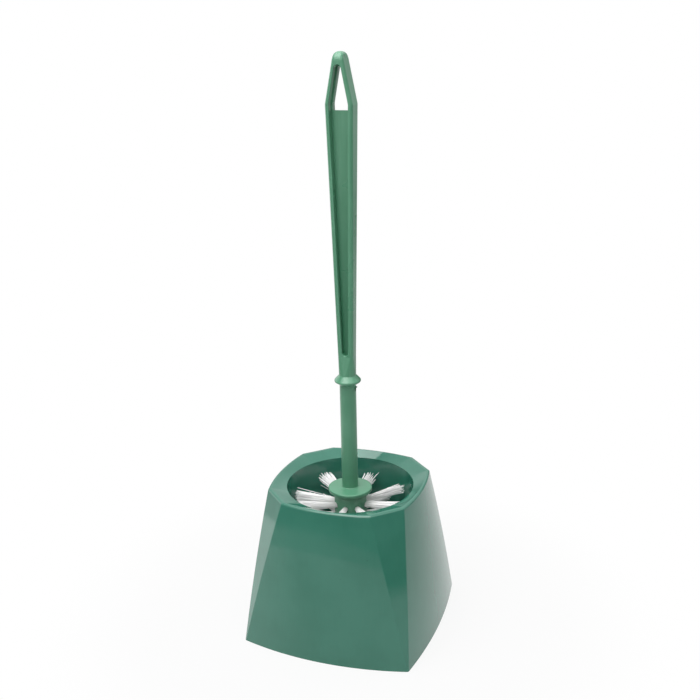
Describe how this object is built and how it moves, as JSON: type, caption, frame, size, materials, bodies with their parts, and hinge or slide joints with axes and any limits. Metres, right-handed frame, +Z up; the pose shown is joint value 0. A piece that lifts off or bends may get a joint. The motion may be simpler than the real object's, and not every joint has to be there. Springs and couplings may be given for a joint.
{
  "type": "toilet brush holder",
  "caption": "Free-standing toilet brush holder with a tapered eight-sided skirt, a round cup and a lift-out tufted brush with a hanging loop.",
  "frame": {"origin": "on the ground, on the shared axis of the cup and the brush", "axes": "+Z up along the brush, the holder's front and one open side of the grip face -Y, +X to the right"},
  "size_m": [0.131, 0.1356, 0.4],
  "materials": {
    "holder_plastic": "glossy dark green moulded polypropylene",
    "handle_plastic": "satin mid green moulded polypropylene",
    "head_plastic": "satin mid green moulded polypropylene, a little darker than the handle",
    "bristle": "white nylon filament in bundles",
    "anchor_wire": "flat drawn wire"
  },
  "bodies": {
    "holder": {"holder": "holder_plastic"},
    "brush": {"anchors_end": "anchor_wire", "anchors_end_ring": "anchor_wire", "anchors_row_1": "anchor_wire", "anchors_row_2": "anchor_wire", "anchors_row_3": "anchor_wire", "anchors_row_4": "anchor_wire", "anchors_row_5": "anchor_wire", "anchors_row_6": "anchor_wire", "anchors_row_7": "anchor_wire", "anchors_row_8": "anchor_wire", "brush_head": "head_plastic", "handle": "handle_plastic", "tufts_end": "bristle", "tufts_end_ring": "bristle", "tufts_row_1": "bristle", "tufts_row_2": "bristle", "tufts_row_3": "bristle", "tufts_row_4": "bristle", "tufts_row_5": "bristle", "tufts_row_6": "bristle", "tufts_row_7": "bristle", "tufts_row_8": "bristle"}
  },
  "joints": [
    {"name": "brush_lift", "type": "slide", "parent": "holder", "child": "brush", "axis": [0, 0, 1], "range_m": [0, 0.12]}
  ]
}
